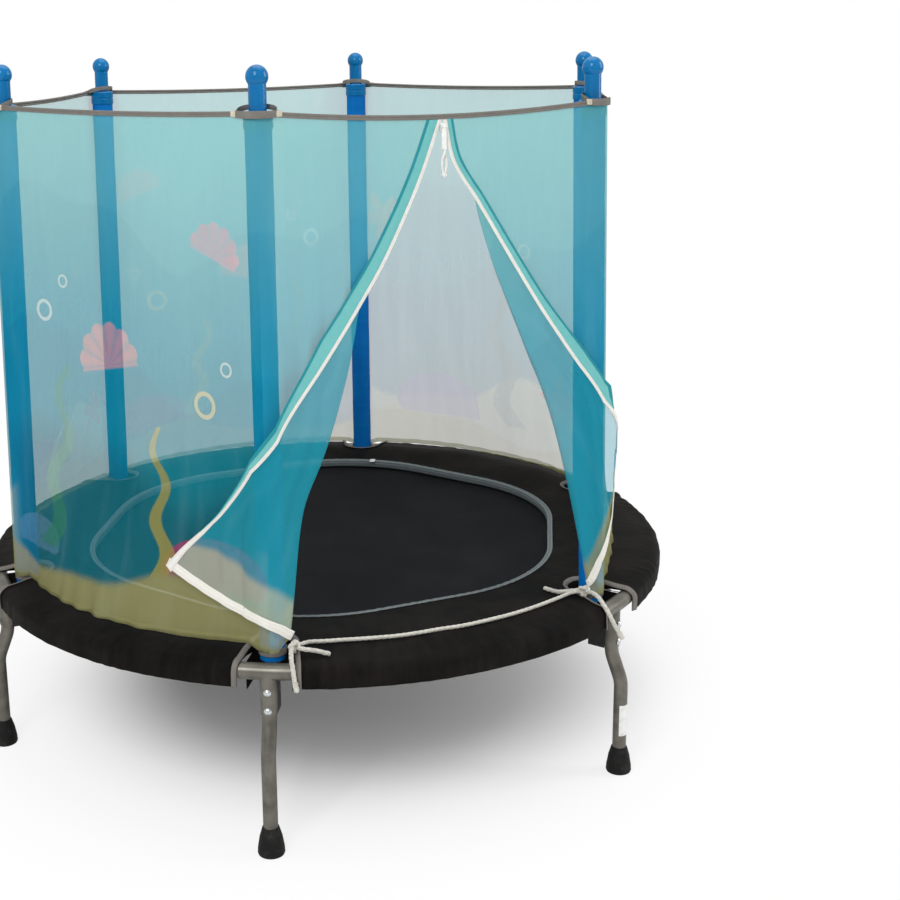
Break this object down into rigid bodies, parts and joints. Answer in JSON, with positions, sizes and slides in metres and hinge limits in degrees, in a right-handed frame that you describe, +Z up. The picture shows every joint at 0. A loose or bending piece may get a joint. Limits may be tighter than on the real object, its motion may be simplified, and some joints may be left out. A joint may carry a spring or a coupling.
{
  "type": "mini trampoline with enclosure net",
  "caption": "Children's mini trampoline on bent tube legs, with a padded safety cover, foam-sleeved posts and a printed enclosure net with a zipped doorway.",
  "frame": {"origin": "on the floor, at the centre of the circle of feet", "axes": "+Z up; -Y towards the doorway; +X to the right of someone facing the doorway's outside"},
  "size_m": [1.3978, 1.3456, 1.2795],
  "materials": {
    "frame_steel": "dark warm grey powder coat, satin",
    "post_steel": "dark grey, hidden inside the foam",
    "foot_rubber": "matt black moulded rubber",
    "foam": "matt blue closed-cell foam sleeve",
    "cap_plastic": "glossy blue moulding",
    "spacer_plastic": "matt black moulding",
    "bolt_zinc": "bright domed head",
    "spring_zinc": "zinc-plated wire",
    "mat_cloth": "black woven sheet",
    "webbing": "black polypropylene webbing",
    "pad_cover": "matt black coated cover",
    "grey_binding": "mid grey woven tape",
    "elastic": "warm grey elastic band",
    "net_print": "fine mesh with a printed underwater gradient from teal to sand",
    "white_cloth": "white woven tape",
    "zip_metal": "white enamelled zip parts",
    "rope": "white twisted polypropylene rope"
  },
  "bodies": {
    "frame": {"frame_section_1": "frame_steel", "frame_section_2": "frame_steel", "frame_section_3": "frame_steel", "frame_section_4": "frame_steel", "frame_section_5": "frame_steel", "frame_section_6": "frame_steel", "leg_1": "frame_steel", "leg_2": "frame_steel", "leg_3": "frame_steel", "leg_4": "frame_steel", "leg_5": "frame_steel", "leg_6": "frame_steel", "rubber_feet": "foot_rubber", "post_tube_1": "post_steel", "post_tube_2": "post_steel", "post_tube_3": "post_steel", "post_tube_4": "post_steel", "post_tube_5": "post_steel", "post_tube_6": "post_steel", "foam_sleeve_1": "foam", "foam_sleeve_2": "foam", "foam_sleeve_3": "foam", "foam_sleeve_4": "foam", "foam_sleeve_5": "foam", "foam_sleeve_6": "foam", "post_cap_1": "cap_plastic", "post_cap_2": "cap_plastic", "post_cap_3": "cap_plastic", "post_cap_4": "cap_plastic", "post_cap_5": "cap_plastic", "post_cap_6": "cap_plastic", "spacer_blocks": "spacer_plastic", "leg_bolts": "bolt_zinc", "lock_nuts": "bolt_zinc", "mat_springs": "spring_zinc", "safety_pad": "pad_cover", "pad_inner_binding": "grey_binding", "slot_bindings": "grey_binding", "net_panel_1": "net_print", "net_panel_2": "net_print", "net_panel_3": "net_print", "net_panel_4": "net_print", "net_panel_5": "net_print", "door_flap_left": "net_print", "door_flap_right": "net_print", "rim_tape": "grey_binding", "post_loops": "grey_binding", "hem_loops": "elastic", "zip_tapes": "white_cloth", "flap_bands": "white_cloth", "sill_rope": "rope", "rope_knots": "rope", "rope_tails": "rope", "labels": "white_cloth"},
    "mat": {"jumping_mat": "mat_cloth", "mat_webbing": "webbing", "mat_rings": "spring_zinc"},
    "slider": {"zip_slider": "zip_metal"},
    "pull": {"pull_tab": "zip_metal", "pull_cord": "white_cloth"}
  },
  "joints": [
    {"name": "mat_bounce", "type": "slide", "parent": "frame", "child": "mat", "axis": [0, 0, 1], "range_m": [-0.11, 0], "stiffness_N_per_m": 2500, "springref_m": 0.012, "deforming": ["mat_springs"]},
    {"name": "zip_slide", "type": "slide", "parent": "frame", "child": "slider", "axis": [0, 0, 1], "range_m": [-0.02, 0]},
    {"name": "pull_swing", "type": "hinge", "parent": "slider", "child": "pull", "pos_m": [0.004, -0.54309, 1.1778], "axis": [-1, 0, 0], "range_deg": [0, 120]}
  ]
}
